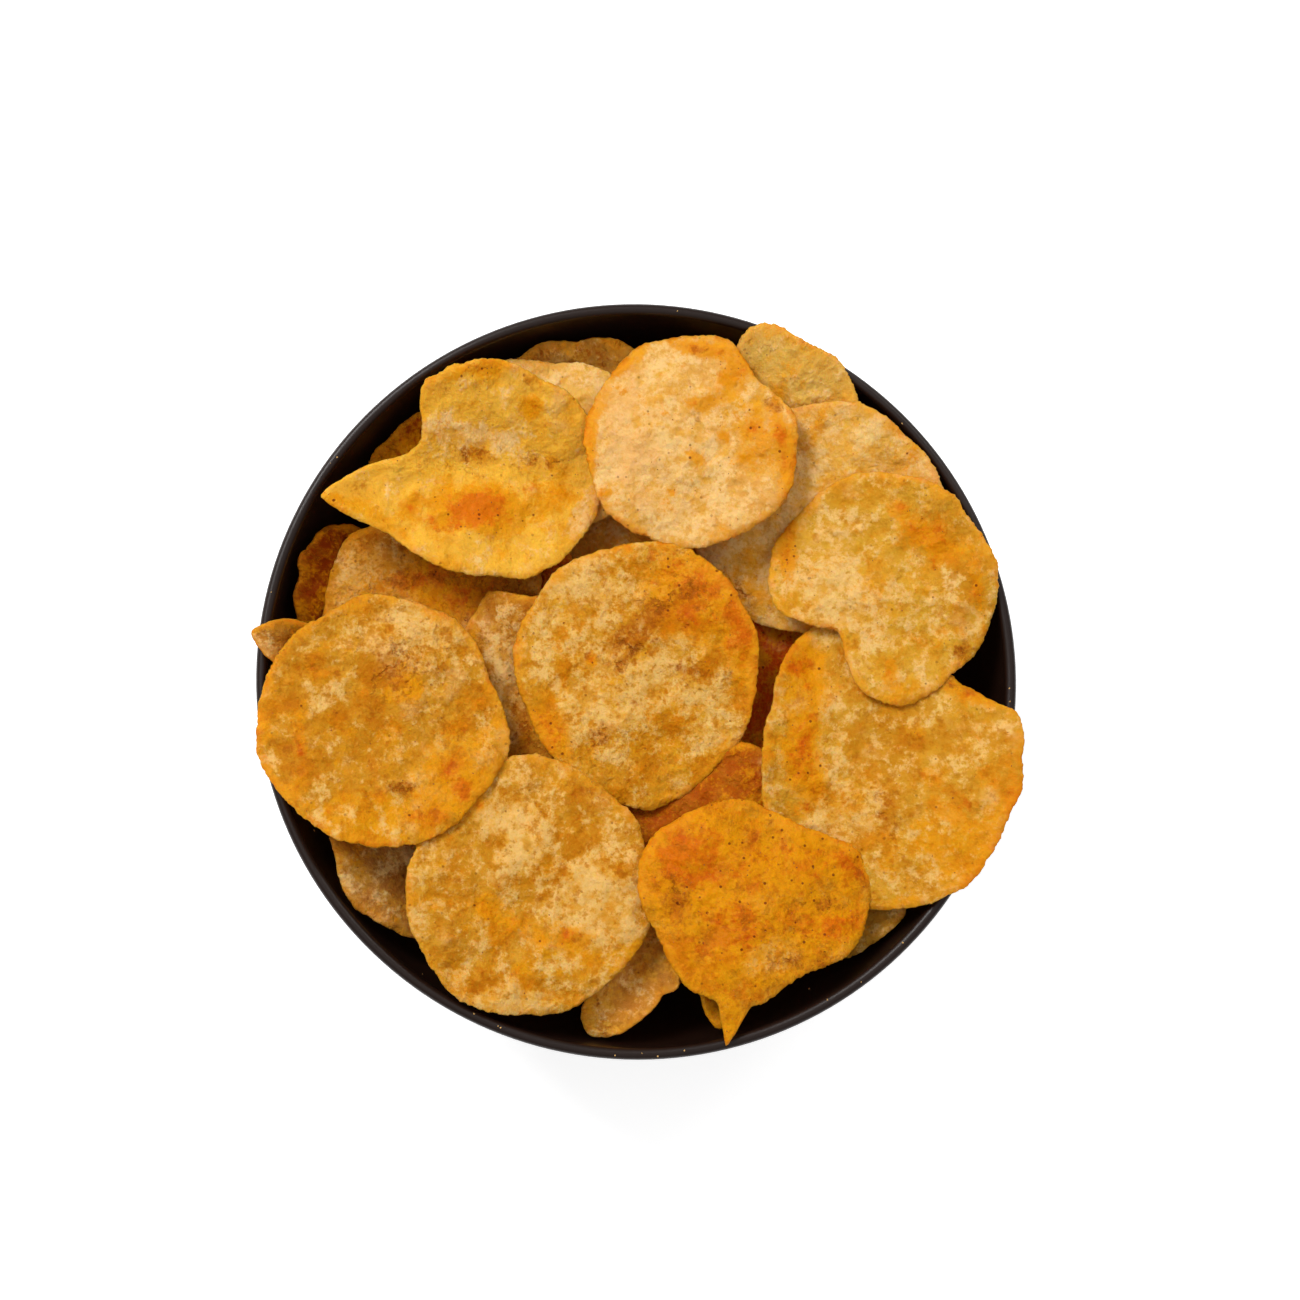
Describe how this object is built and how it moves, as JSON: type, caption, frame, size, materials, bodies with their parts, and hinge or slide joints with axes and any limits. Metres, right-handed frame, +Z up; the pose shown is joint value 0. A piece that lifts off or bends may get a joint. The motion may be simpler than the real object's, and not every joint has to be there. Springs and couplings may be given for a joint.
{
  "type": "bowl of crisps",
  "caption": "Round black bowl on a low foot ring, heaped over its rim with thin curled seasoned potato crisps, as served for a snack.",
  "frame": {"origin": "centre of the bowl's base, on the surface that the foot ring stands on", "axes": "+Z up along the bowl's axis; -Y towards the viewer, on the side of the crisp with the pinched tip"},
  "size_m": [0.1616, 0.16, 0.0713],
  "materials": {
    "bowl": "satin",
    "crisps": "matte"
  },
  "bodies": {
    "root": {"bowl": "bowl", "crisp_heap": "crisps"}
  },
  "joints": []
}
